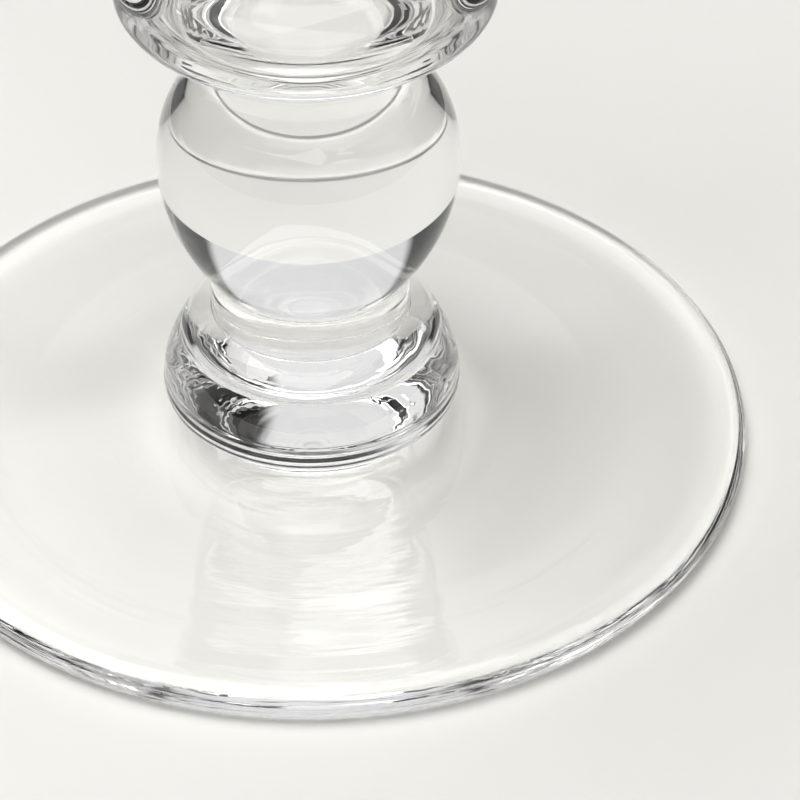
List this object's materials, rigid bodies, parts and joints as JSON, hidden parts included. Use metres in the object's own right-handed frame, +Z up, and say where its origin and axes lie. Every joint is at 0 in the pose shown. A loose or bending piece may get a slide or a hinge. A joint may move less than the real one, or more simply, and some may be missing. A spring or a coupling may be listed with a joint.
{
  "type": "stemmed drinking glass",
  "caption": "Heavy clear drinking glass: round foot with rolled rim, stepped collar, ball and cushion knops on a short stem, open tulip bowl.",
  "frame": {"origin": "centre of the ring that the foot stands on, on the table", "axes": "+Z up along the axis of the stem; X and Y lie in the table and are alike, because every piece is turned about Z"},
  "size_m": [0.08, 0.08, 0.1608],
  "materials": {
    "clear_glass": "fire-polished clear colourless glass with faint tool marks"
  },
  "bodies": {
    "root": {"foot": "clear_glass", "foot_collar": "clear_glass", "stem_neck": "clear_glass", "ball_knop": "clear_glass", "waist_ring": "clear_glass", "cushion_knop": "clear_glass", "bowl": "clear_glass"}
  },
  "joints": []
}
